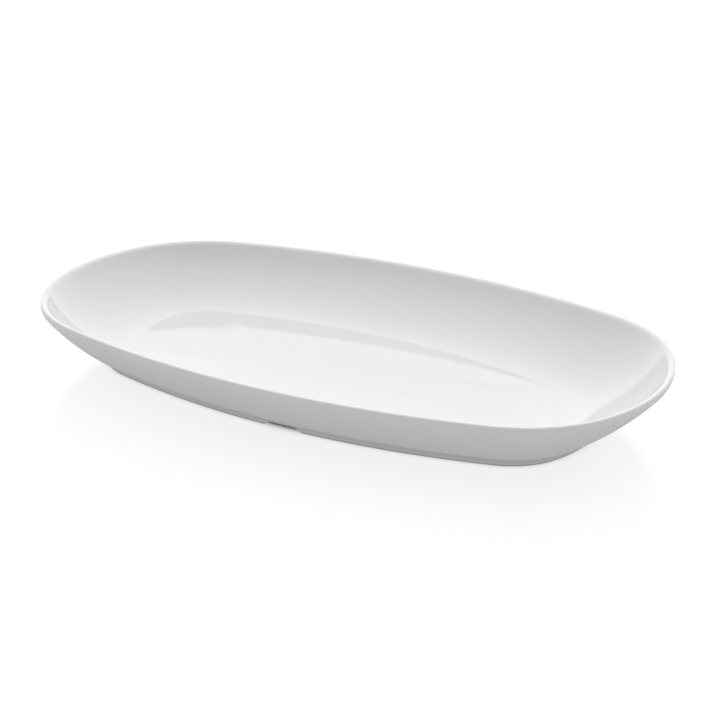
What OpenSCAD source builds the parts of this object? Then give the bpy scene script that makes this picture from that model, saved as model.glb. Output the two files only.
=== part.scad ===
// Asparagus plate: a long oval porcelain dish on a low foot ring.
// Every outline is an inset of one oval of eight tangent arcs, and each piece is a section lofted round it.
// Millimetres, +Z up. The origin is on the table, under the middle of the dish.

/* [Oval] */
// Length over the lip
dish_l = 350; // [300:5:400]
// Width over the lip
dish_w = 207; // [180:1:240]
// Half of the angle that the arc of a long side turns through
side_turn = 16.5; // [12:0.5:20]
// Half of the angle that the arc of an end turns through
end_turn = 26.5; // [20:0.5:34]
// Radius of the well at its corners, where the arc of the bowl ends
well_corner_r = 20.8; // [12:0.1:30]

/* [Wall] */
// Height over the lip
dish_h = 36.2; // [28:0.1:46]
// Radius of the rounded lip, which is half of the wall's thickness there
lip_r = 1.8; // [1.4:0.1:2.2]
// Radius of the shoulder, which brings the outside upright under the lip
shoulder_r = 5; // [3:0.5:8]
// Radius of the outside between the foot and the shoulder
belly_r = 136; // [100:1:200]
// Thickness of the wall halfway up
wall_t = 3.6; // [3.4:0.1:5]

/* [Well] */
// Thickness under the edge of the well
floor_t = 4.7; // [3.5:0.1:7]
// Slope of the well where it meets the arc of the bowl
well_slope = 1.7; // [1.2:0.1:2.6]
// How much lower the well is in its middle than at its edge
well_sag = 0.8; // [0.5:0.1:1]

/* [Foot] */
// How far the foot stands in from the lip
foot_inset = 34.9; // [25:0.1:45]
// Height of the foot ring under the well
foot_h = 2.8; // [2:0.1:5]
// Width of the foot ring below its fillets
foot_w = 5.2; // [4:0.1:8]
// How much wider the foot ring is at its top, on its inner flank
foot_lean = 1; // [0:0.1:2]
// Radius of the fillets between the foot ring and the dish
foot_fillet_r = 1.1; // [0.5:0.1:1.5]
// Height of the bare edge that the dish stands on
edge_h = 0.8; // [0.5:0.1:1.2]
// Radius that rounds the two sides of the bare edge
edge_r = 0.6; // [0.3:0.05:0.8]

/* [Drain notches] */
// Width of a notch on the table
notch_w = 22; // [12:1:40]
// Height of a notch in its middle
notch_h = 2.3; // [1:0.1:2.7]

/* [Hidden] */
$fn = 96;

// Steps along the arcs of the oval and along the curves of the sections
side_steps = 16;
end_steps = 12;
corner_steps = 10;
belly_steps = 10;
shoulder_steps = 4;
lip_steps = 5;
bowl_steps = 14;
fillet_steps = 3;
edge_steps = 3;

// Rings of the well, each as a share of its edge
WELL_SHARES = [0.88, 0.73, 0.55, 0.32];

// Colours
GLAZE = [0.95, 0.95, 0.94];
BARE_CLAY = [0.88, 0.86, 0.82];

function unit(angle) = [cos(angle), sin(angle)];

// Section of the dish: x is 0 at the outside of the lip and negative inwards, z is up.
lip_c = [-lip_r, dish_h - lip_r];

// Outside: a belly arc rises from the foot's fillet and turns into the shoulder arc.
belly_start = [foot_fillet_r - foot_inset, foot_h];
shoulder_c = [-shoulder_r, lip_c.y];
shoulder_to_start = belly_start - shoulder_c;
start_reach = norm(shoulder_to_start);
arc_step = belly_r - shoulder_r;
start_along = (pow(belly_r, 2) - pow(arc_step, 2) - pow(start_reach, 2)) / (2 * arc_step);
belly_end_dir = atan2(shoulder_to_start.y, shoulder_to_start.x) + acos(start_along / start_reach);
belly_c = shoulder_c - arc_step * unit(belly_end_dir);

// Inside: the bowl arc would lie flat at well_z.
// It stays wall_t from the belly's middle and touches the lip's circle.
well_z = foot_h + floor_t;
belly_start_dir = atan2(belly_start.y - belly_c.y, belly_start.x - belly_c.x);
wall_mid = belly_c + (belly_r - wall_t) * unit((belly_start_dir + belly_end_dir) / 2);
mid_rise = wall_mid.y - well_z;
lip_rise = lip_c.y - well_z;
rise_ratio = (lip_rise + lip_r) / mid_rise;
bowl_a = rise_ratio - 1;
bowl_b = lip_c.x - rise_ratio * wall_mid.x;
mid_square = pow(wall_mid.x, 2) + pow(mid_rise, 2);
lip_square = pow(lip_c.x, 2) + pow(lip_rise, 2);
bowl_k = rise_ratio * mid_square - lip_square + pow(lip_r, 2);
bowl_x = -(bowl_b + sqrt(pow(bowl_b, 2) - bowl_a * bowl_k)) / bowl_a;
bowl_r = (pow(wall_mid.x - bowl_x, 2) + pow(mid_rise, 2)) / (2 * mid_rise);
bowl_c = [bowl_x, well_z + bowl_r];
lip_touch_dir = atan2(bowl_c.y - lip_c.y, bowl_c.x - lip_c.x);

// The bowl arc ends at the edge of the well, a little before it lies flat.
bowl_end_dir = well_slope - 90;
well_edge = bowl_c + bowl_r * unit(bowl_end_dir);
well_inset = -bowl_c.x;

// The oval over the lip: side, corner and end arcs, each tangent to the next.
half_l = dish_l / 2;
half_w = dish_w / 2;
corner_r = well_corner_r + well_inset;
side_dir = 90 - side_turn;
reach_l = half_l - corner_r;
reach_w = half_w - corner_r;
turn_area = cos(side_dir) * sin(end_turn) - (1 - cos(end_turn)) * (1 - sin(side_dir));
side_extra = (reach_l * sin(end_turn) - reach_w * (1 - cos(end_turn))) / turn_area;
end_extra = (reach_w * cos(side_dir) - reach_l * (1 - sin(side_dir))) / turn_area;
side_r = corner_r + side_extra;
end_r = corner_r + end_extra;
side_c = [0, half_w - side_r];
end_c = [half_l - end_r, 0];
corner_c = end_c + end_extra * unit(end_turn);
corner_turn = side_dir - end_turn;

// The eight arcs, counter-clockwise: [centre, radius over the lip, first angle, turn, steps]
ARCS = [
    [end_c, end_r, -end_turn, 2 * end_turn, end_steps],
    [corner_c, corner_r, end_turn, corner_turn, corner_steps],
    [side_c, side_r, side_dir, 2 * side_turn, side_steps],
    [[-corner_c.x, corner_c.y], corner_r, 180 - side_dir, corner_turn, corner_steps],
    [-end_c, end_r, 180 - end_turn, 2 * end_turn, end_steps],
    [-corner_c, corner_r, 180 + end_turn, corner_turn, corner_steps],
    [-side_c, side_r, 180 + side_dir, 2 * side_turn, side_steps],
    [[corner_c.x, -corner_c.y], corner_r, 360 - side_dir, corner_turn, corner_steps],
];

// Stations round the oval: [centre of the arc, radius over the lip, direction outwards]
STATIONS = [for (arc = ARCS, i = [0:arc[4] - 1]) [arc[0], arc[1], unit(arc[2] + arc[3] * i / arc[4])]];
around = len(STATIONS);

// A section's point at a station
function placed(station, point) = concat(station[0] + (station[1] + point.x) * station[2], point.y);

// Points of an arc in a section, without its last one
function arc_points(centre, r, from, to, steps) =
    [for (i = [0:steps - 1]) centre + r * unit(from + (to - from) * i / steps)];

// Two triangles between neighbouring stations and neighbouring points of the section
function strip(along, next) = [
    for (i = [0:around - 1]) let (j = (i + 1) % around)
        each [[along + i, next + i, along + j], [along + j, next + i, next + j]]
];

// Rows of points round the oval, one row for each point of a section
function rows(section) = [for (point = section, station = STATIONS) placed(station, point)];

// Triangles from each row of points to the next
function skin(count) = [for (k = [0:count - 2]) each strip(k * around, (k + 1) * around)];

// Lofts a closed section round the oval
module loft_ring(section) {
    count = len(section);
    polyhedron(
        points = rows(section),
        faces = concat(skin(count), strip((count - 1) * around, 0))
    );
}

// Wall and lip: out along the foot's plane, up the outside, over the lip and down to the well's edge
wall_section = concat(
    [[-well_inset, foot_h]],
    arc_points(belly_c, belly_r, belly_start_dir, belly_end_dir, belly_steps),
    arc_points(shoulder_c, shoulder_r, belly_end_dir, 0, shoulder_steps),
    arc_points(lip_c, lip_r, 0, 90, lip_steps),
    arc_points(lip_c, lip_r, 90, lip_touch_dir, lip_steps),
    arc_points(bowl_c, bowl_r, lip_touch_dir - 180, bowl_end_dir, bowl_steps),
    [well_edge]
);

// The well leaves its edge at one slope all round and sinks to one depth in its middle.
// The girth is how far the edge's tangent at a station stands from the middle.
function sunk(station, share) =
    let (
        edge = station[0] + (station[1] + well_edge.x) * station[2],
        girth = edge * station[2],
        power = tan(well_slope) * girth / well_sag
    )
    concat(share * edge, well_edge.y - well_sag * (1 - pow(share, power)));

module dish() {
    row_count = len(wall_section) + len(WELL_SHARES);
    middle = row_count * around;
    last_row = middle - around;
    well_rings = [for (share = WELL_SHARES, station = STATIONS) sunk(station, share)];
    underside = [for (i = [0:around - 1]) i];
    fan = [for (i = [0:around - 1]) [last_row + i, middle, last_row + (i + 1) % around]];
    color(GLAZE)
        polyhedron(
            points = concat(rows(wall_section), well_rings, [[0, 0, well_edge.y - well_sag]]),
            faces = concat([underside], skin(row_count), fan)
        );
}

// The foot's section: an upright outer flank and a leaning inner one, each with a hollow fillet on top
foot_out = -foot_inset;
foot_in = foot_out - foot_w;
lean_in = foot_in - foot_lean;
fillet_z = foot_h - foot_fillet_r;
foot_section = concat(
    [[foot_in, edge_h], [foot_out, edge_h]],
    arc_points([foot_out + foot_fillet_r, fillet_z], foot_fillet_r, 180, 90, fillet_steps),
    [[foot_out + foot_fillet_r, foot_h]],
    arc_points([lean_in - foot_fillet_r, fillet_z], foot_fillet_r, 90, 0, fillet_steps),
    [[lean_in, fillet_z]]
);

// The bare edge's section, with its two lower corners rounded
edge_section = concat(
    arc_points([foot_in + edge_r, edge_r], edge_r, 180, 270, edge_steps),
    [[foot_in + edge_r, 0]],
    arc_points([foot_out - edge_r, edge_r], edge_r, 270, 360, edge_steps),
    [[foot_out, edge_r], [foot_out, edge_h], [foot_in, edge_h]]
);

// A low arch through the foot in the middle of each long side, where rinsing water drains
module drain_notches() {
    arch_r = (pow(notch_w / 2, 2) + pow(notch_h, 2)) / (2 * notch_h);
    translate([0, half_w, notch_h - arch_r])
        rotate([90, 0, 0])
            cylinder(h = dish_w, r = arch_r);
}

// Raised ring that carries the dish, glazed on its flanks
module foot_ring() {
    color(GLAZE)
        difference() {
            loft_ring(foot_section);
            drain_notches();
        }
}

// Bare ground edge of the ring: the only clay without glaze
module foot_edge() {
    color(BARE_CLAY)
        difference() {
            loft_ring(edge_section);
            drain_notches();
        }
}

dish();
foot_ring();
foot_edge();
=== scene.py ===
"""Long oval porcelain plate for asparagus: its glazed dish, its foot ring and the ring's bare edge.

Every outline is an inset of one oval of eight tangent arcs. A section of each piece is drawn in
millimetres, as distance out from the lip and height, and Geometry Nodes loft it round the oval.
"""
import math

import bmesh
import bpy
from bpy.props import FloatProperty, FloatVectorProperty, IntProperty, PointerProperty
from bpy.types import Operator, Panel, PropertyGroup
from mathutils import Matrix, Vector


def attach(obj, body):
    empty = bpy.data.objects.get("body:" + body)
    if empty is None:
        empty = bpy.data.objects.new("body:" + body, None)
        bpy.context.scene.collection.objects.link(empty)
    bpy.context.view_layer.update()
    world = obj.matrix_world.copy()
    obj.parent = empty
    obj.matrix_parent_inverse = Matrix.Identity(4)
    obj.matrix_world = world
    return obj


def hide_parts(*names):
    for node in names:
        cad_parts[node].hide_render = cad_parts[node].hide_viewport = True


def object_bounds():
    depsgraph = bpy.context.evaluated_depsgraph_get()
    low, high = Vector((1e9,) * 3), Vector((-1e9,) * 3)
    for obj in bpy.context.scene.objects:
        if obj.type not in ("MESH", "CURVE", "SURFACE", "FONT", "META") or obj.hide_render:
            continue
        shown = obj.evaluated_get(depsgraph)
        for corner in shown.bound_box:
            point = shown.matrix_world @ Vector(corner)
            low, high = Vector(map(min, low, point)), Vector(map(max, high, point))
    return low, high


bl_info = {
    "name": "Asparagus Plate",
    "version": (1, 0, 0),
    "blender": (4, 5, 0),
    "location": "3D View > Sidebar > Plate",
    "description": "Builds a long oval porcelain plate with its glaze, foot and studio",
    "category": "Add Mesh",
}

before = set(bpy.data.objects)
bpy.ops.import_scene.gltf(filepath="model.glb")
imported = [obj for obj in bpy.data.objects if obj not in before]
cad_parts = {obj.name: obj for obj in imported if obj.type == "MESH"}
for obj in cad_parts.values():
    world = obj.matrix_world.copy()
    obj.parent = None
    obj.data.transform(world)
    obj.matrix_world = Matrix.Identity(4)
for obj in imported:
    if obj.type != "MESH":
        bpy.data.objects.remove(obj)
PACKED_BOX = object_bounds()
BODY = "root"

# One unit of a section is a millimetre, and the scene is in metres
MM = 0.001
PACKED_SIZE = PACKED_BOX[1] - PACKED_BOX[0]

# Points along the curves of a section, and stations round the oval
STATIONS = 480
BELLY_STEPS = 26
SHOULDER_STEPS = 10
LIP_STEPS = 10
BOWL_STEPS = 34
WELL_RINGS = 22
FILLET_STEPS = 8
EDGE_STEPS = 6
ARCH_STEPS = 28
# Faces that meet at more than this angle meet sharply
SHARP_ANGLE = math.radians(28)
# Distance in metres within which the points of a pole are merged
POLE_GAP = 2e-6

# Noise patterns on the pieces: scale per metre, detail and roughness
GLAZE_CLOUDS = (14.0, 3.0, 0.55)
GLOSS_PATCHES = (38.0, 2.0, 0.5)
FIRING_WAVES = (22.0, 1.0, 0.4)
GLAZE_SKIN = (420.0, 2.0, 0.5)
CLAY_STAINS = (45.0, 4.0, 0.6)
CLAY_GRAIN = (2600.0, 3.0, 0.7)
# Noise values between which a pattern runs, and its shades or shares there
CLOUD_SPAN, CLOUD_SHADES = (0.35, 0.65), (0.985, 1.0)
PATCH_SPAN, PATCH_SHARES = (0.3, 0.7), (0.7, 1.4)
STAIN_SPAN, STAIN_SHARES = (0.45, 0.75), (0.0, 0.6)
GRAIN_SPAN, GRAIN_SHADES, GRAIN_ROUGHNESS = (0.3, 0.7), (0.93, 1.0), (0.62, 0.82)
# Depth of the relief in metres and its strength, and the shares of the glaze's waves and skin
GLAZE_RELIEF, GLAZE_STRENGTH = 0.00006, 1.0
WAVES_SHARE, SKIN_SHARE = 0.05, 0.012
CLAY_RELIEF, CLAY_STRENGTH = 0.00005, 0.5
PORCELAIN_IOR = 1.5
# Height of the band under the crest whose colour is darkened as painted shade, in millimetres
LIP_SHADE_BAND = 2.6
WHITE = (1, 1, 1, 1)

# Camera: width of its sensor in millimetres, and where its view starts, in metres
SENSOR_WIDTH = 36.0
CLIP_START = 0.01


class PlateSizes(PropertyGroup):
    """Sizes of the plate, in millimetres apart from its angles."""

    length: FloatProperty(
        name="Length", description="Length over the lip", default=PACKED_SIZE.x / MM)
    width: FloatProperty(
        name="Width", description="Width over the lip", default=PACKED_SIZE.y / MM)
    height: FloatProperty(
        name="Height", description="Height over the lip", default=PACKED_SIZE.z / MM)
    side_turn: FloatProperty(
        name="Side turn", description="Half of the angle that a long side's arc turns through",
        default=math.radians(16.5), subtype="ANGLE")
    end_turn: FloatProperty(
        name="End turn", description="Half of the angle that an end's arc turns through",
        default=math.radians(26.5), subtype="ANGLE")
    well_corner_r: FloatProperty(
        name="Well corner", default=20.8,
        description="Radius of the well at its corners, where the bowl's arc ends")
    lip_r: FloatProperty(
        name="Lip radius", description="Half of the lip's thickness, which the bowl's arc keeps to",
        default=1.8)
    lip_roll_r: FloatProperty(
        name="Lip roll", description="Radius of the lip between the bowl and its crest",
        default=3.2)
    lip_edge_r: FloatProperty(
        name="Lip edge", description="Radius of the lip's outer edge", default=1.0)
    shoulder_r: FloatProperty(
        name="Shoulder radius", description="Radius that brings the outside upright under the lip",
        default=5)
    belly_r: FloatProperty(
        name="Belly radius", description="Radius of the outside between foot and shoulder",
        default=136)
    wall_t: FloatProperty(
        name="Wall", description="Thickness of the wall halfway up", default=3.6)
    floor_t: FloatProperty(
        name="Floor", description="Thickness under the edge of the well", default=4.7)
    well_slope: FloatProperty(
        name="Well slope", description="Slope of the well where it meets the bowl's arc",
        default=math.radians(1.7), subtype="ANGLE")
    well_sag: FloatProperty(
        name="Well sag", description="How much lower the well is in its middle than at its edge",
        default=0.8)
    foot_inset: FloatProperty(
        name="Foot inset", description="How far the foot stands in from the lip", default=34.9)
    foot_h: FloatProperty(
        name="Foot height", description="Height of the foot ring under the well", default=2.8)
    foot_w: FloatProperty(
        name="Foot width", description="Width of the foot ring below its fillets", default=5.2)
    foot_lean: FloatProperty(
        name="Foot lean", description="How much wider the foot is at its top, on its inner flank",
        default=1)
    foot_fillet_r: FloatProperty(
        name="Inner fillet", description="Radius between the foot's inner flank and the underside",
        default=1.1)
    foot_cove_r: FloatProperty(
        name="Outer cove", default=2.2,
        description="Radius of the hollow between the foot's outer flank and the belly")
    edge_h: FloatProperty(
        name="Edge height", description="Height of the bare edge that the plate stands on",
        default=0.8)
    edge_r: FloatProperty(
        name="Edge radius", description="Radius that rounds the sides of the bare edge",
        default=0.6)
    notch_w: FloatProperty(
        name="Notch width", description="Width of a drain notch on the table", default=22)
    notch_h: FloatProperty(
        name="Notch height", description="Height of a drain notch in its middle", default=2.6)
    notch_square: FloatProperty(
        name="Notch square", default=5,
        description="How flat the notch's top is: 2 is a plain arch, more is squarer")
    stations: IntProperty(
        name="Stations", description="Stations round the oval, a multiple of 4", default=STATIONS)


class PlateFinish(PropertyGroup):
    """Colours and gloss of the porcelain, with the heights of its painted cove shade in
    millimetres.
    """

    glaze: FloatVectorProperty(
        name="Glaze", description="Colour of the glazed porcelain", subtype="COLOR", size=3,
        default=(0.838, 0.838, 0.836))
    # Painted shade: a slightly darker colour over the lip's band, which tones down its brightness
    painted_lip_shade: FloatVectorProperty(
        name="Thin glaze", description="Colour at the lip, where the glaze runs thin",
        subtype="COLOR", size=3, default=(0.815, 0.814, 0.81))
    # Painted shade: a darker colour that stands for the shade in the foot's cove and faintly
    # darkens the well, with the heights over which it runs
    painted_cove_shade: FloatVectorProperty(
        name="Pooled glaze", subtype="COLOR", size=3, default=(0.67, 0.673, 0.672),
        description="Colour where the glaze pools: round the foot and faintly in the well")
    cove_shade_height: FloatProperty(
        name="Pool height", description="Height at which most glaze pools", default=3.9)
    cove_shade_above: FloatProperty(
        name="Pool above", description="How far up from there the pool fades", default=4.2)
    cove_shade_below: FloatProperty(
        name="Pool below", description="How far down from there the pool fades", default=1.8)
    gloss_rough: FloatProperty(
        name="Gloss roughness", description="Roughness of the glaze", default=0.06)
    # Partly the clay's own duller tone, partly painted contact shadow along the table
    bare_clay: FloatVectorProperty(
        name="Bare clay", description="Colour of the ground clay", subtype="COLOR", size=3,
        default=(0.62, 0.61, 0.59))
    bare_stain: FloatVectorProperty(
        name="Bare stain", description="Colour of the wear on the ground clay", subtype="COLOR",
        size=3, default=(0.55, 0.54, 0.52))


class PlateStudio(PropertyGroup):
    """Camera, floor and light."""

    camera_azimuth: FloatProperty(
        name="Camera azimuth", description="Turn of the camera round the plate",
        default=math.radians(27.0), subtype="ANGLE")
    camera_elevation: FloatProperty(
        name="Camera elevation", description="Angle of the camera above the table",
        default=math.radians(21.966), subtype="ANGLE")
    camera_roll: FloatProperty(
        name="Camera roll", description="Roll of the camera about its own axis",
        default=math.radians(1.765), subtype="ANGLE")
    camera_distance: FloatProperty(
        name="Camera distance", description="Distance of the camera from the table's middle",
        default=0.9061, unit="LENGTH")
    camera_right: FloatProperty(
        name="Camera right", description="How far the camera stands to its right", default=0.007,
        unit="LENGTH")
    camera_up: FloatProperty(
        name="Camera up", description="How far the camera stands up", default=0.01325,
        unit="LENGTH")
    lens: FloatProperty(name="Lens", description="Focal length in millimetres", default=84.0)
    front_light: FloatProperty(
        name="Front light", description="Light from the camera's side", default=0.43)
    side_light: FloatProperty(
        name="Side light", description="Light from the left and the right", default=0.64)
    sweep_light: FloatProperty(
        name="Sweep light", description="Light of the sweep behind the plate", default=1.57)
    panel_light: FloatProperty(
        name="Panel light", description="Light of the large panel overhead", default=1.455)
    panel_tilt: FloatProperty(
        name="Panel tilt", description="How far behind the zenith the panel's middle is",
        default=math.radians(20.5), subtype="ANGLE")
    panel_full: FloatProperty(
        name="Panel full", description="Angle from the panel's middle within which it is even",
        default=math.radians(11.5), subtype="ANGLE")
    panel_end: FloatProperty(
        name="Panel end", description="Angle from the panel's middle at which it has faded",
        default=math.radians(60), subtype="ANGLE")
    floor_glow: FloatProperty(
        name="Floor glow", description="Light that the camera sees the white floor give of itself",
        default=0.925)
    floor_matt: FloatProperty(
        name="Floor matt", description="Share of light that the camera sees the floor scatter",
        default=0.13)
    floor_return: FloatProperty(
        name="Floor return", description="Light of the near floor on the plate", default=0.405)
    floor_far: FloatProperty(
        name="Floor far", description="Light of the far floor on the plate", default=0.605)
    floor_under: FloatProperty(
        name="Floor under", default=0.3,
        description="Light of the floor inside the foot on the plate's underside")
    floor_bounce: FloatProperty(
        name="Floor bounce", description="Share of light that the floor scatters to the plate",
        default=0.15)
    floor_mirror: FloatProperty(
        name="Floor mirror", description="Strength of the floor's mirror image", default=0.145)
    mirror_reach: FloatProperty(
        name="Mirror reach", description="Distance from the foot over which the mirror image fades",
        default=0.165, unit="LENGTH")


def unit(angle):
    """Direction of an angle in a section or an outline."""
    return Vector((math.cos(angle), math.sin(angle)))


def arc(centre, radius, start, end, steps):
    """Points of an arc in a section, without its last one."""
    return [centre + radius * unit(start + (end - start) * i / steps) for i in range(steps)]


class Oval:
    """The eight arcs over the lip, from the plate's sizes and the shape of its bowl."""

    def __init__(self, sizes, section):
        self.corner_r = sizes.well_corner_r + section.arc_inset
        self.side_dir = side_dir = math.pi / 2 - sizes.side_turn
        self.end_turn = end_turn = sizes.end_turn
        reach_l = sizes.length / 2 - self.corner_r
        reach_w = sizes.width / 2 - self.corner_r
        end_rise = 1 - math.cos(end_turn)
        side_rise = 1 - math.sin(side_dir)
        area = math.cos(side_dir) * math.sin(end_turn) - end_rise * side_rise
        side_extra = (reach_l * math.sin(end_turn) - reach_w * end_rise) / area
        end_extra = (reach_w * math.cos(side_dir) - reach_l * side_rise) / area
        self.side_r = self.corner_r + side_extra
        self.end_r = self.corner_r + end_extra
        self.side_c = Vector((0, sizes.width / 2 - self.side_r))
        self.end_c = Vector((sizes.length / 2 - self.end_r, 0))
        self.corner_c = self.end_c + end_extra * unit(end_turn)

    def point(self, turn, out):
        """Point at a distance out from the lip, on the normal that has a turn."""
        normal = unit(turn)
        folded = math.atan2(abs(normal.y), abs(normal.x))
        centre, radius = self.corner_c, self.corner_r
        if folded < self.end_turn:
            centre, radius = self.end_c, self.end_r
        elif folded > self.side_dir:
            centre, radius = self.side_c, self.side_r
        quarter = Vector((math.copysign(1, normal.x), math.copysign(1, normal.y)))
        return centre * quarter + (radius + out) * normal


class WallSection:
    """Curves of the wall. In a section x is 0 at the outside of the lip and negative inwards."""

    def __init__(self, sizes):
        self.lip_c = Vector((-sizes.lip_r, sizes.height - sizes.lip_r))
        self.shoulder_c = Vector((-sizes.shoulder_r, self.lip_c.y))
        self.belly_start = Vector((sizes.foot_fillet_r - sizes.foot_inset, sizes.foot_h))
        self.find_belly(sizes)
        self.well_z = sizes.foot_h + sizes.floor_t
        self.find_bowl(sizes)
        self.find_lip(sizes)

    def find_belly(self, sizes):
        """The belly arc starts over the foot and turns into the shoulder arc."""
        to_start = self.belly_start - self.shoulder_c
        step = sizes.belly_r - sizes.shoulder_r
        along = (sizes.belly_r ** 2 - step ** 2 - to_start.length_squared) / (2 * step)
        self.belly_end = math.atan2(to_start.y, to_start.x) + math.acos(along / to_start.length)
        self.belly_c = self.shoulder_c - step * unit(self.belly_end)
        from_c = self.belly_start - self.belly_c
        self.belly_from = math.atan2(from_c.y, from_c.x)

    def find_bowl(self, sizes):
        """The bowl arc, which would lie flat at well_z.

        It keeps the wall's thickness halfway up and touches the circle of the lip's half thickness.
        """
        middle = (self.belly_from + self.belly_end) / 2
        wall_mid = self.belly_c + (sizes.belly_r - sizes.wall_t) * unit(middle)
        mid_rise = wall_mid.y - self.well_z
        lip_rise = self.lip_c.y - self.well_z

        # Both conditions together give a quadratic equation for the x of the bowl's centre
        ratio = (lip_rise + sizes.lip_r) / mid_rise
        a = ratio - 1
        b = self.lip_c.x - ratio * wall_mid.x
        lip_square = self.lip_c.x ** 2 + lip_rise ** 2
        k = ratio * (wall_mid.x ** 2 + mid_rise ** 2) - lip_square + sizes.lip_r ** 2
        bowl_x = -(b + math.sqrt(b ** 2 - a * k)) / a
        self.bowl_r = ((wall_mid.x - bowl_x) ** 2 + mid_rise ** 2) / (2 * mid_rise)
        self.bowl_c = Vector((bowl_x, self.well_z + self.bowl_r))
        self.arc_inset = -bowl_x

    def find_lip(self, sizes):
        """The lip rolls from the bowl's arc to its crest and turns down tightly at its edge."""
        roll_z = sizes.height - sizes.lip_roll_r
        reach = self.bowl_r + sizes.lip_roll_r
        roll_x = self.bowl_c.x + math.sqrt(reach ** 2 - (self.bowl_c.y - roll_z) ** 2)
        self.roll_c = Vector((roll_x, roll_z))
        to_bowl = self.bowl_c - self.roll_c
        self.roll_end = math.atan2(to_bowl.y, to_bowl.x)
        self.edge_c = Vector((-sizes.lip_edge_r, sizes.height - sizes.lip_edge_r))


def rings(x, z, sags, inwards):
    """Points on ever smaller rings that lead from an outline to the middle, or out from there."""
    shares = [i / WELL_RINGS for i in range(WELL_RINGS + 1)]
    if inwards:
        shares.reverse()
    return [(x, z, share, sags) for share in shares]


def whole(points):
    """Section points on rings of full size, which keep their height."""
    return [(point.x, point.y, 1, 0) for point in points]


def dish_section(sizes, wall):
    """From the underside's middle out and up, over the lip and down to the well's middle."""
    bowl_end = -math.pi / 2 + sizes.well_slope
    well_edge = wall.bowl_c + wall.bowl_r * unit(bowl_end)
    underside = rings(wall.belly_start.x, wall.belly_start.y, 0, inwards=False)[:-1]
    outside = whole(
        arc(wall.belly_c, sizes.belly_r, wall.belly_from, wall.belly_end, BELLY_STEPS)
        + arc(wall.shoulder_c, sizes.shoulder_r, wall.belly_end, 0, SHOULDER_STEPS)
        + arc(wall.edge_c, sizes.lip_edge_r, 0, math.pi / 2, LIP_STEPS)
        + arc(wall.roll_c, sizes.lip_roll_r, math.pi / 2, wall.roll_end, LIP_STEPS)
        + arc(wall.bowl_c, wall.bowl_r, wall.roll_end - math.pi, bowl_end, BOWL_STEPS))
    well = rings(well_edge.x, well_edge.y, 1, inwards=True)
    return underside + outside + well


def foot_section(sizes, wall):
    """The ring under the dish: its outer flank ends in a cove that runs out on the belly."""
    out = -sizes.foot_inset
    inner = out - sizes.foot_w
    lean = inner - sizes.foot_lean
    cove_x = out + sizes.foot_cove_r
    cove_reach = sizes.belly_r + sizes.foot_cove_r
    cove_z = wall.belly_c.y - math.sqrt(cove_reach ** 2 - (cove_x - wall.belly_c.x) ** 2)
    cove_c = Vector((cove_x, cove_z))
    to_belly = wall.belly_c - cove_c
    cove_end = math.atan2(to_belly.y, to_belly.x)
    belly_at_cove = math.atan2(-to_belly.y, -to_belly.x)
    fillet_z = sizes.foot_h - sizes.foot_fillet_r
    fillet_c = Vector((lean - sizes.foot_fillet_r, fillet_z))
    points = [Vector((inner, sizes.edge_h)), Vector((out, sizes.edge_h))]
    points += arc(cove_c, sizes.foot_cove_r, math.pi, cove_end, FILLET_STEPS)
    points += arc(wall.belly_c, sizes.belly_r, belly_at_cove, wall.belly_from, FILLET_STEPS)
    points.append(wall.belly_start)
    points += arc(fillet_c, sizes.foot_fillet_r, math.pi / 2, 0, FILLET_STEPS)
    points.append(Vector((lean, fillet_z)))
    return whole(points)


def edge_section(sizes):
    """The bare edge, with its two lower corners rounded."""
    out = -sizes.foot_inset
    inner = out - sizes.foot_w
    inner_c = Vector((inner + sizes.edge_r, sizes.edge_r))
    outer_c = Vector((out - sizes.edge_r, sizes.edge_r))
    points = arc(inner_c, sizes.edge_r, math.pi, 1.5 * math.pi, EDGE_STEPS)
    points.append(Vector((inner_c.x, 0)))
    points += arc(outer_c, sizes.edge_r, 1.5 * math.pi, 2 * math.pi, EDGE_STEPS)
    points.append(Vector((out, sizes.edge_r)))
    points += [Vector((out, sizes.edge_h)), Vector((inner, sizes.edge_h))]
    return whole(points)


def section_mesh(name, section, closed):
    """A chain of edges with a section's points in metres and what each says about its ring."""
    mesh = bpy.data.meshes.new(name)
    count = len(section)
    edges = [(i, i + 1) for i in range(count - 1)]
    if closed:
        edges.append((count - 1, 0))
    mesh.from_pydata([(x * MM, 0, z * MM) for x, z, share, sags in section], edges, [])
    values = {
        "out": [point[0] * MM for point in section],
        "rise": [point[1] * MM for point in section],
        "share": [point[2] for point in section],
        "sags": [point[3] for point in section],
    }
    for key, numbers in values.items():
        mesh.attributes.new(key, "FLOAT", "POINT").data.foreach_set("value", numbers)
    return mesh


class NodeMaker:
    """Adds nodes to a tree."""

    def __init__(self, tree):
        self.tree = tree

    def add(self, kind, *feeds, **settings):
        """A node. The feeds go to its inputs in order, and None leaves one as it is."""
        node = self.tree.nodes.new(kind)
        for key, value in settings.items():
            setattr(node, key, value)
        sockets = [socket for socket in node.inputs if socket.enabled]
        for socket, feed in zip(sockets, feeds):
            self.feed(socket, feed)
        return node

    def feed(self, socket, value):
        """Links a socket to an input, or gives it a plain value."""
        if isinstance(value, bpy.types.NodeSocket):
            self.tree.links.new(value, socket)
        elif value is not None:
            socket.default_value = value

    def out(self, kind, *feeds, **settings):
        """First output of a new node."""
        node = self.add(kind, *feeds, **settings)
        return next(socket for socket in node.outputs if socket.enabled)

    def math(self, operation, *feeds, kind="ShaderNodeMath"):
        """Result of an operation on numbers."""
        return self.out(kind, *feeds, operation=operation)

    def vector_math(self, operation, *feeds):
        """Result of an operation on vectors."""
        return self.math(operation, *feeds, kind="ShaderNodeVectorMath")


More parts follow.
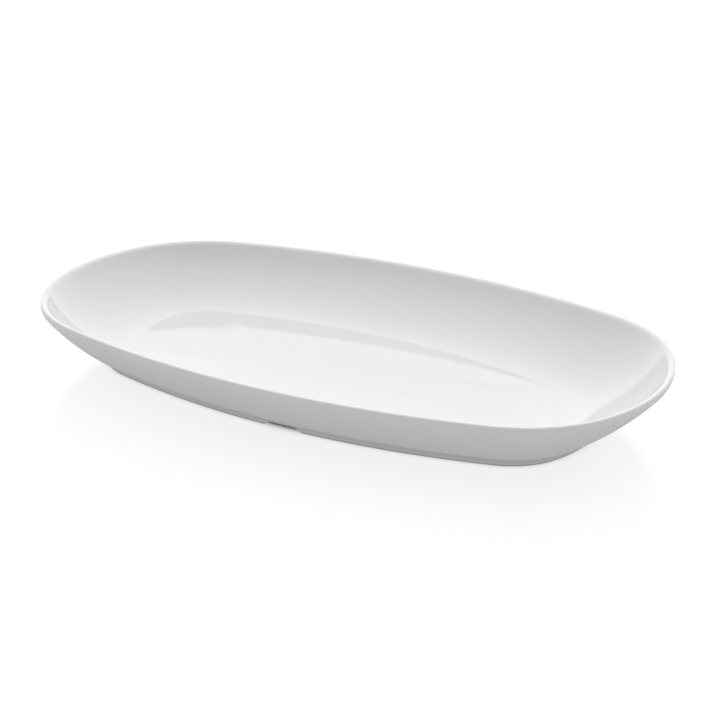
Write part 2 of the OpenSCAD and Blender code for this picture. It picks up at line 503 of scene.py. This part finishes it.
LOFT_INPUTS = (
    ("Section", "NodeSocketGeometry"),
    ("Stations", "NodeSocketInt"),
    ("Side Turn", "NodeSocketFloat"),
    ("End Turn", "NodeSocketFloat"),
    ("Side Radius", "NodeSocketFloat"),
    ("Corner Radius", "NodeSocketFloat"),
    ("End Radius", "NodeSocketFloat"),
    ("Side Centre", "NodeSocketVector"),
    ("Corner Centre", "NodeSocketVector"),
    ("End Centre", "NodeSocketVector"),
    ("Sag", "NodeSocketFloat"),
    ("Edge Slope", "NodeSocketFloat"),
    ("Material", "NodeSocketMaterial"),
)


def loft_tree():
    """Lofts a section round the oval.

    A station's turn is the direction of the outline's normal there. The turn tells which arc the
    station is on, and a section point lies at the arc's centre plus its radius along that normal.
    """
    tree = bpy.data.node_groups.new("oval_loft", "GeometryNodeTree")
    for name, kind in LOFT_INPUTS:
        tree.interface.new_socket(name, in_out="INPUT", socket_type=kind)
    tree.interface.new_socket("Piece", in_out="OUTPUT", socket_type="NodeSocketGeometry")
    make = NodeMaker(tree)
    given = make.add("NodeGroupInput").outputs

    def attribute(name):
        return make.out("GeometryNodeInputNamedAttribute", name, data_type="FLOAT")

    # A ring of stations, each with its turn, carries the section's points
    index = make.out("GeometryNodeInputIndex")
    circle = make.out("GeometryNodeCurvePrimitiveCircle", given["Stations"], mode="RADIUS")
    turn = make.math("DIVIDE", make.math("MULTIPLY", index, math.tau), given["Stations"])
    path = make.out(
        "GeometryNodeStoreNamedAttribute", circle, None, "turn", turn,
        data_type="FLOAT", domain="POINT")
    profile = make.out("GeometryNodeMeshToCurve", given["Section"])
    skin = make.out("GeometryNodeCurveToMesh", path, profile)

    # The arc that each station is on, first as if in the first quarter and then in its own
    cos_turn = make.math("COSINE", attribute("turn"))
    sin_turn = make.math("SINE", attribute("turn"))
    normal = make.out("ShaderNodeCombineXYZ", cos_turn, sin_turn, 0)
    folded = make.math("ARCTAN2", make.math("ABSOLUTE", sin_turn), make.math("ABSOLUTE", cos_turn))
    on_end = make.math("LESS_THAN", folded, given["End Turn"])
    side_from = make.math("SUBTRACT", math.pi / 2, given["Side Turn"])
    on_side = make.math("GREATER_THAN", folded, side_from)

    def chosen(end, corner, side, kind):
        inner = make.out("GeometryNodeSwitch", on_end, given[corner], given[end], input_type=kind)
        return make.out("GeometryNodeSwitch", on_side, inner, given[side], input_type=kind)

    radius = chosen("End Radius", "Corner Radius", "Side Radius", "FLOAT")
    centre = chosen("End Centre", "Corner Centre", "Side Centre", "VECTOR")
    centre = make.vector_math("MULTIPLY", centre, make.vector_math("SIGN", normal))

    # Place on the table, drawn in by the ring's share
    outline = make.math("ADD", radius, attribute("out"))
    spot = make.vector_math("ADD", centre, make.vector_math("MULTIPLY", normal, outline))
    spot = make.vector_math("MULTIPLY", spot, attribute("share"))

    # The well leaves its edge at one slope all round and sinks to one depth in its middle
    girth = make.math("ADD", make.vector_math("DOT_PRODUCT", centre, normal), outline)
    fall = make.math("MULTIPLY", make.math("TANGENT", given["Edge Slope"]), girth)
    power = make.math("DIVIDE", fall, given["Sag"])
    dip = make.math("SUBTRACT", 1, make.math("POWER", attribute("share"), power))
    dip = make.math("MULTIPLY", make.math("MULTIPLY", dip, given["Sag"]), attribute("sags"))
    lift = make.out("ShaderNodeCombineXYZ", 0, 0, make.math("SUBTRACT", attribute("rise"), dip))
    place = make.vector_math("ADD", spot, lift)

    placed = make.out("GeometryNodeSetPosition", skin, True, place)
    closed = make.out("GeometryNodeMergeByDistance", placed, True, POLE_GAP, mode="ALL")
    for name in ("turn", "out", "rise", "share", "sags"):
        closed = make.out("GeometryNodeRemoveAttribute", closed, name)
    real = make.out("GeometryNodeRealizeInstances", closed)
    done = make.out("GeometryNodeSetMaterial", real, True, given["Material"])
    make.add("NodeGroupOutput", done)
    return tree


def loft_inputs(sizes, material):
    """Values for the tree's named inputs, in metres."""
    oval = Oval(sizes, WallSection(sizes))
    centres = {"Side Centre": oval.side_c, "Corner Centre": oval.corner_c, "End Centre": oval.end_c}
    values = {
        "Stations": sizes.stations,
        "Side Turn": sizes.side_turn,
        "End Turn": sizes.end_turn,
        "Side Radius": oval.side_r * MM,
        "Corner Radius": oval.corner_r * MM,
        "End Radius": oval.end_r * MM,
        "Sag": sizes.well_sag * MM,
        "Edge Slope": sizes.well_slope,
        "Material": material,
    }
    values.update({name: (centre * MM).to_3d() for name, centre in centres.items()})
    return values


def lofted(name, section, closed, material, sizes):
    """A plain mesh object: the section lofted round the oval, with its faces outwards."""
    tree = bpy.data.node_groups.get("oval_loft") or loft_tree()
    chain = section_mesh(name + "_section", section, closed)
    source = bpy.data.objects.new(chain.name, chain)
    bpy.context.scene.collection.objects.link(source)
    modifier = source.modifiers.new("Loft", "NODES")
    modifier.node_group = tree
    values = loft_inputs(sizes, material)
    for socket in tree.interface.items_tree:
        if socket.in_out == "INPUT" and socket.name in values:
            modifier[socket.identifier] = values[socket.name]
    shown = source.evaluated_get(bpy.context.evaluated_depsgraph_get())
    mesh = bpy.data.meshes.new_from_object(shown)
    mesh.name = name
    source.modifiers.remove(modifier)
    bpy.data.objects.remove(source)
    piece = bpy.data.objects.new(name, mesh)
    bpy.context.scene.collection.objects.link(piece)
    turn_outwards(mesh)
    return piece


def turn_outwards(mesh):
    """Faces point out of a closed solid, and its smooth faces meet sharply at real edges only."""
    shape = bmesh.new()
    shape.from_mesh(mesh)
    if shape.calc_volume(signed=True) < 0:
        bmesh.ops.reverse_faces(shape, faces=shape.faces)
    shape.to_mesh(mesh)
    shape.free()
    mesh.shade_smooth()
    mesh.set_sharp_from_angle(angle=SHARP_ANGLE)


def notch_outline(sizes):
    """Outline of the drain notch over the table: a low arch with a flat top and steep ends."""
    half = sizes.notch_w / 2
    shares = [1 - 2 * i / ARCH_STEPS for i in range(ARCH_STEPS + 1)]
    rises = [1 - abs(share) ** sizes.notch_square for share in shares]
    return [Vector((half * share, sizes.notch_h * rise)) for share, rise in zip(shares, rises)]


def cut_notches(piece, sizes):
    """Cuts the drain notch through both long sides of a ring."""
    arch = notch_outline(sizes)
    below = -sizes.foot_h
    outline = [Vector((arch[0].x, below))] + arch + [Vector((arch[-1].x, below))]
    half = sizes.width / 2
    shape = bmesh.new()
    near = [shape.verts.new((point.x * MM, -half * MM, point.y * MM)) for point in outline]
    far = [shape.verts.new((point.x * MM, half * MM, point.y * MM)) for point in outline]
    count = len(outline)
    shape.faces.new(near)
    shape.faces.new(list(reversed(far)))
    for i in range(count):
        j = (i + 1) % count
        shape.faces.new((near[j], near[i], far[i], far[j]))
    bmesh.ops.recalc_face_normals(shape, faces=shape.faces)
    mesh = bpy.data.meshes.new("notch_cutter")
    shape.to_mesh(mesh)
    shape.free()
    cutter = bpy.data.objects.new("notch_cutter", mesh)
    bpy.context.scene.collection.objects.link(cutter)
    cut = piece.modifiers.new("Notches", "BOOLEAN")
    cut.operation = "DIFFERENCE"
    cut.solver = "EXACT"
    cut.object = cutter
    shown = piece.evaluated_get(bpy.context.evaluated_depsgraph_get())
    cut_mesh = bpy.data.meshes.new_from_object(shown)
    piece.modifiers.remove(cut)
    piece.data = cut_mesh
    bpy.data.objects.remove(cutter)
    turn_outwards(cut_mesh)


def new_material(name):
    """An empty material and the maker of its nodes."""
    material = bpy.data.materials.new(name)
    material.use_nodes = True
    material.node_tree.nodes.clear()
    return material, NodeMaker(material.node_tree)


def rgba(colour):
    """Opaque colour for a node, from three channels."""
    return tuple(colour) + (1,)


def grey(make, value):
    """Colour with one value in all three channels."""
    return make.out("ShaderNodeCombineColor", value, value, value)


def mixed_colour(make, factor, first, second, blend="MIX"):
    """Colour between two others, or one multiplied by the other."""
    return make.out("ShaderNodeMix", factor, first, second, data_type="RGBA", blend_type=blend)


def noise(make, place, pattern):
    """Value of a noise pattern at a place on the piece."""
    return make.add("ShaderNodeTexNoise", place, *pattern).outputs["Fac"]


def mapped(make, value, span, result, **settings):
    """A value's place in a span, carried over to a result's range."""
    return make.out("ShaderNodeMapRange", value, *span, *result, **settings)


def add_surface(make, colour, rough, relief, depth, strength):
    """The surface at the material's output, with its colour, its roughness and its relief."""
    bump = make.add("ShaderNodeBump")
    bump.inputs["Strength"].default_value = strength
    bump.inputs["Distance"].default_value = depth
    make.feed(bump.inputs["Height"], relief)
    shader = make.add("ShaderNodeBsdfPrincipled")
    shader.inputs["IOR"].default_value = PORCELAIN_IOR
    make.feed(shader.inputs["Base Color"], colour)
    make.feed(shader.inputs["Roughness"], rough)
    make.feed(shader.inputs["Normal"], bump.outputs["Normal"])
    make.add("ShaderNodeOutputMaterial", shader.outputs["BSDF"])


def glaze_material(name, finish):
    """Clear gloss glaze: its colour is darkened a little with height as painted shade, in the
    foot's cove and over the lip, and it ripples faintly.
    """
    material, make = new_material(name)
    place = make.add("ShaderNodeTexCoord").outputs["Object"]
    height = make.add("ShaderNodeSeparateXYZ", place).outputs["Z"]

    # Colour: painted shade, darkest in the foot's cove and faint in the well, and a slightly darker
    # band over the lip as painted shade
    lip_shade_band = (PACKED_SIZE.z - LIP_SHADE_BAND * MM, PACKED_SIZE.z)
    lip_shade_mask = mapped(make, height, lip_shade_band, (0.0, 1.0), interpolation_type="SMOOTHSTEP")
    cove_shade_middle = finish.cove_shade_height * MM
    cove_shade_top = cove_shade_middle + finish.cove_shade_above * MM
    cove_shade_bottom = cove_shade_middle - finish.cove_shade_below * MM
    from_top = mapped(make, height, (cove_shade_top, cove_shade_middle), (0.0, 1.0), interpolation_type="SMOOTHSTEP")
    from_bottom = mapped(make, height, (cove_shade_bottom, cove_shade_middle), (0.0, 1.0))
    cove_shade_mask = make.math("MULTIPLY", from_top, from_bottom)
    shade = mapped(make, noise(make, place, GLAZE_CLOUDS), CLOUD_SPAN, CLOUD_SHADES)
    colour = mixed_colour(make, lip_shade_mask, rgba(finish.glaze), rgba(finish.painted_lip_shade))
    colour = mixed_colour(make, cove_shade_mask, colour, rgba(finish.painted_cove_shade))
    colour = mixed_colour(make, 1.0, colour, grey(make, shade), blend="MULTIPLY")

    # Gloss: a little uneven, as fired glaze is
    gloss = [share * finish.gloss_rough for share in PATCH_SHARES]
    rough = mapped(make, noise(make, place, GLOSS_PATCHES), PATCH_SPAN, gloss)

    # Relief: long waves from the firing and the fine skin of the glaze
    waves = make.math("MULTIPLY", noise(make, place, FIRING_WAVES), WAVES_SHARE)
    skin = make.math("MULTIPLY", noise(make, place, GLAZE_SKIN), SKIN_SHARE)
    add_surface(make, colour, rough, make.math("ADD", waves, skin), GLAZE_RELIEF, GLAZE_STRENGTH)
    return material


def bare_clay_material(finish):
    """Ground clay without glaze: matt, finely grained and a little stained by use. Its colour is
    darker than the clay's own, as painted contact shadow where it meets the table.
    """
    material, make = new_material("bare_clay")
    place = make.add("ShaderNodeTexCoord").outputs["Object"]
    stain = mapped(make, noise(make, place, CLAY_STAINS), STAIN_SPAN, STAIN_SHARES)
    grain = noise(make, place, CLAY_GRAIN)
    # The clay's own tone, darkened as painted contact shadow, with real stains of use
    colour = mixed_colour(make, stain, rgba(finish.bare_clay), rgba(finish.bare_stain))
    tone = mapped(make, grain, GRAIN_SPAN, GRAIN_SHADES)
    colour = mixed_colour(make, 1.0, colour, grey(make, tone), blend="MULTIPLY")
    rough = mapped(make, grain, GRAIN_SPAN, GRAIN_ROUGHNESS)
    add_surface(make, colour, rough, grain, CLAY_RELIEF, CLAY_STRENGTH)
    return material


def seat(piece, node):
    """The piece stands for a node of the frame and rides with the plate."""
    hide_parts(node)
    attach(piece, BODY)


class PLATE_OT_dish(Operator):
    """Builds the glazed dish: well, wall and lip"""

    bl_idname = "plate.dish"
    bl_label = "Dish"

    def execute(self, context):
        sizes = context.scene.plate_sizes
        wall = WallSection(sizes)
        material = glaze_material("glaze", context.scene.plate_finish)
        piece = lofted("dish", dish_section(sizes, wall), False, material, sizes)
        seat(piece, "dish")
        return {"FINISHED"}


class PLATE_OT_foot_ring(Operator):
    """Builds the glazed foot ring with its two drain notches"""

    bl_idname = "plate.foot_ring"
    bl_label = "Foot Ring"

    def execute(self, context):
        sizes = context.scene.plate_sizes
        wall = WallSection(sizes)
        material = glaze_material("foot_glaze", context.scene.plate_finish)
        piece = lofted("foot_ring", foot_section(sizes, wall), True, material, sizes)
        cut_notches(piece, sizes)
        seat(piece, "foot_ring")
        return {"FINISHED"}


class PLATE_OT_foot_edge(Operator):
    """Builds the bare ground edge that the plate stands on"""

    bl_idname = "plate.foot_edge"
    bl_label = "Foot Edge"

    def execute(self, context):
        sizes = context.scene.plate_sizes
        material = bare_clay_material(context.scene.plate_finish)
        piece = lofted("foot_edge", edge_section(sizes), True, material, sizes)
        cut_notches(piece, sizes)
        seat(piece, "foot_edge")
        return {"FINISHED"}


# Distances of the floor's rings from the foot's outer line, in millimetres
FLOOR_RINGS = (-12, 0, 30, 100, 300, 1000, 6000)
# The next distances are in metres from the same line.
# Under the foot the floor's glow is painted dark, as contact shadow, up to the first one, and it is
# full from the second on
CONTACT_SHADOW_SPAN = (-0.0038, 0.0055)
# How late the shade falls off between the two
SHADE_POWER = 3
# Inside the foot, where the light on the underside is full and where it ends
UNDER_SPAN = (-0.012, -0.0085)
# Where the far floor's light begins and where it is full
FAR_SPAN = (0.03, 0.14)
# Roughness of the floor's mirror image
MIRROR_ROUGHNESS = 0.0


def floor_mesh(sizes):
    """A floor of rings round the foot. Each point knows its distance from the foot's outer line."""
    oval = Oval(sizes, WallSection(sizes))
    count = sizes.stations
    points = []
    distances = []
    for distance in FLOOR_RINGS:
        for i in range(count):
            spot = oval.point(math.tau * i / count, distance - sizes.foot_inset)
            points.append((spot.x * MM, spot.y * MM, 0))
            distances.append(distance * MM)
    faces = [tuple(range(count))]
    for ring in range(len(FLOOR_RINGS) - 1):
        inner, outer = ring * count, (ring + 1) * count
        for i in range(count):
            j = (i + 1) % count
            faces.append((inner + i, outer + i, outer + j, inner + j))
    mesh = bpy.data.meshes.new("floor")
    mesh.from_pydata(points, [], faces)
    mesh.attributes.new("from_foot", "FLOAT", "POINT").data.foreach_set("value", distances)
    return mesh


def add_floor(studio, sizes):
    """White table with a weak mirror image near the plate. From below it can be seen through."""
    mesh = floor_mesh(sizes)
    floor = bpy.data.objects.new("floor", mesh)
    bpy.context.scene.collection.objects.link(floor)
    material, make = new_material("floor_white")

    def white_surface(glow, scatter):
        """White that gives light of itself and scatters a share of what falls on it."""
        glowing = make.out("ShaderNodeEmission", WHITE, glow)
        matt = make.out("ShaderNodeBsdfDiffuse", rgba((scatter,) * 3))
        return make.out("ShaderNodeAddShader", glowing, matt)

    # Painted contact shadow: the floor's glow is dark under the foot, and its mirror image fades
    # away from the foot
    from_foot = make.add("ShaderNodeAttribute", attribute_name="from_foot").outputs["Fac"]
    shade = mapped(make, from_foot, CONTACT_SHADOW_SPAN, (1.0, 0.0))
    lit = make.math("SUBTRACT", 1.0, make.math("POWER", shade, SHADE_POWER))
    mirrored = mapped(
        make, from_foot, (0.0, studio.mirror_reach), (studio.floor_mirror, 0.0),
        interpolation_type="SMOOTHSTEP")

    # What the camera sees
    mirror = make.out("ShaderNodeBsdfAnisotropic", WHITE, MIRROR_ROUGHNESS)
    white = white_surface(make.math("MULTIPLY", lit, studio.floor_glow), studio.floor_matt)
    seen = make.out("ShaderNodeMixShader", mirrored, white, mirror)

    # What lights the plate, with the underside inside its foot
    back = mapped(make, from_foot, FAR_SPAN, (studio.floor_return, studio.floor_far))
    under = mapped(make, from_foot, UNDER_SPAN, (studio.floor_under, 0.0))
    given = white_surface(make.math("MULTIPLY_ADD", lit, back, under), studio.floor_bounce)

    path = make.add("ShaderNodeLightPath").outputs["Is Camera Ray"]
    top = make.out("ShaderNodeMixShader", path, given, seen)
    below = make.add("ShaderNodeNewGeometry").outputs["Backfacing"]
    clear = make.out("ShaderNodeBsdfTransparent")
    make.add("ShaderNodeOutputMaterial", make.out("ShaderNodeMixShader", below, top, clear))
    mesh.materials.append(material)


def add_world(studio):
    """Light round the plate: dim in front, bright behind, and a large panel overhead.

    The camera itself sees plain white.
    """
    world = bpy.data.worlds.new("studio")
    bpy.context.scene.world = world
    world.use_nodes = True
    world.node_tree.nodes.clear()
    make = NodeMaker(world.node_tree)
    way = make.add("ShaderNodeTexCoord").outputs["Generated"]
    away = Vector((-math.sin(studio.camera_azimuth), math.cos(studio.camera_azimuth), 0))

    # Round the horizon the light follows a parabola through its front, side and back values
    behind = make.vector_math("DOT_PRODUCT", way, tuple(away))
    slope = (studio.sweep_light - studio.front_light) / 2
    bend = (studio.sweep_light + studio.front_light) / 2 - studio.side_light
    low = make.math("MULTIPLY_ADD", behind, bend, slope)
    low = make.math("MULTIPLY_ADD", behind, low, studio.side_light)

    # The panel covers the sky round its middle and fades out
    panel_way = math.sin(studio.panel_tilt) * away + math.cos(studio.panel_tilt) * Vector((0, 0, 1))
    near = make.vector_math("DOT_PRODUCT", way, tuple(panel_way))
    fade = (math.cos(studio.panel_end), math.cos(studio.panel_full))
    strength = mapped(make, near, fade, (low, studio.panel_light), interpolation_type="SMOOTHSTEP")
    light = make.out("ShaderNodeBackground", WHITE, strength)
    white = make.out("ShaderNodeBackground", WHITE, 1.0)
    path = make.add("ShaderNodeLightPath").outputs["Is Camera Ray"]
    make.add("ShaderNodeOutputWorld", make.out("ShaderNodeMixShader", path, light, white))


def add_camera(studio):
    """Camera at the photographer's place, which looks at the table's middle."""
    sin_a, cos_a = math.sin(studio.camera_azimuth), math.cos(studio.camera_azimuth)
    sin_e, cos_e = math.sin(studio.camera_elevation), math.cos(studio.camera_elevation)
    back = Vector((sin_a * cos_e, -cos_a * cos_e, sin_e))
    right = Vector((cos_a, sin_a, 0))
    up = back.cross(right)
    place = back * studio.camera_distance + right * studio.camera_right + up * studio.camera_up
    sin_r, cos_r = math.sin(studio.camera_roll), math.cos(studio.camera_roll)
    turned_right = cos_r * right + sin_r * up
    turned_up = cos_r * up - sin_r * right
    data = bpy.data.cameras.new("camera")
    data.lens = studio.lens
    data.sensor_width = SENSOR_WIDTH
    data.clip_start = CLIP_START
    camera = bpy.data.objects.new("camera", data)
    bpy.context.scene.collection.objects.link(camera)
    turn = Matrix((turned_right, turned_up, back)).transposed().to_4x4()
    camera.matrix_world = Matrix.Translation(place) @ turn
    bpy.context.scene.camera = camera


class PLATE_OT_stage(Operator):
    """Sets up the floor, the studio light and the camera"""

    bl_idname = "plate.stage"
    bl_label = "Stage"

    def execute(self, context):
        studio = context.scene.plate_studio
        add_floor(studio, context.scene.plate_sizes)
        add_world(studio)
        add_camera(studio)
        context.scene.view_settings.view_transform = "Standard"
        return {"FINISHED"}


class PLATE_PT_panel(Panel):
    """Lists the plate's pieces, sizes, finish and studio"""

    bl_label = "Plate"
    bl_idname = "PLATE_PT_panel"
    bl_space_type = "VIEW_3D"
    bl_region_type = "UI"
    bl_category = "Plate"

    def draw(self, context):
        layout = self.layout
        for operator in OPERATORS:
            layout.operator(operator.bl_idname)
        for group_name in GROUPS:
            group = getattr(context.scene, group_name)
            column = layout.column()
            for name in group.__annotations__:
                column.prop(group, name)


OPERATORS = (PLATE_OT_stage, PLATE_OT_dish, PLATE_OT_foot_ring, PLATE_OT_foot_edge)
GROUPS = {"plate_sizes": PlateSizes, "plate_finish": PlateFinish, "plate_studio": PlateStudio}
CLASSES = tuple(GROUPS.values()) + OPERATORS + (PLATE_PT_panel,)


def register():
    """Registers the classes and hangs their settings on the scene."""
    for cls in CLASSES:
        bpy.utils.register_class(cls)
    for name, group in GROUPS.items():
        setattr(bpy.types.Scene, name, PointerProperty(type=group))


def unregister():
    """Takes the settings and the classes away again."""
    for name in GROUPS:
        delattr(bpy.types.Scene, name)
    for cls in reversed(CLASSES):
        bpy.utils.unregister_class(cls)


def main():
    """Builds the stage and every piece."""
    register()
    for operator in OPERATORS:
        group, name = operator.bl_idname.split(".")
        getattr(getattr(bpy.ops, group), name)()


if __name__ == "__main__":
    main()
